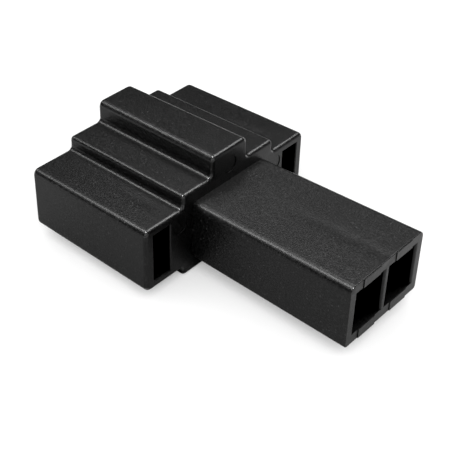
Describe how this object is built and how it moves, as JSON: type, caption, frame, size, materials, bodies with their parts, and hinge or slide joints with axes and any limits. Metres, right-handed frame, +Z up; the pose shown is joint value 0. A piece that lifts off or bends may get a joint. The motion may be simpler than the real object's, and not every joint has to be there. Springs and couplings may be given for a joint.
{
  "type": "automotive wiring plug",
  "caption": "Black moulded automotive wiring plug: stepped body with a slotted wing on each side, a ridge on top and a long rectangular nose with cavities for blade terminals.",
  "frame": {"origin": "centre of the plug's bounding box on the plane that it rests on, under the centre block", "axes": "+X along the mating direction, towards the nose's front rim; +Y across the wings, to the left seen from the rear; +Z up, towards the ridge"},
  "size_m": [0.0506, 0.0346, 0.0175],
  "materials": {
    "housing": "fine spark-eroded grain with a satin sheen",
    "terminal": "tin plated, bright from the press"
  },
  "bodies": {
    "root": {"housing": "housing", "nose_terminal_left": "terminal", "nose_terminal_right": "terminal", "wing_terminal_left": "terminal", "wing_terminal_right": "terminal"}
  },
  "joints": []
}
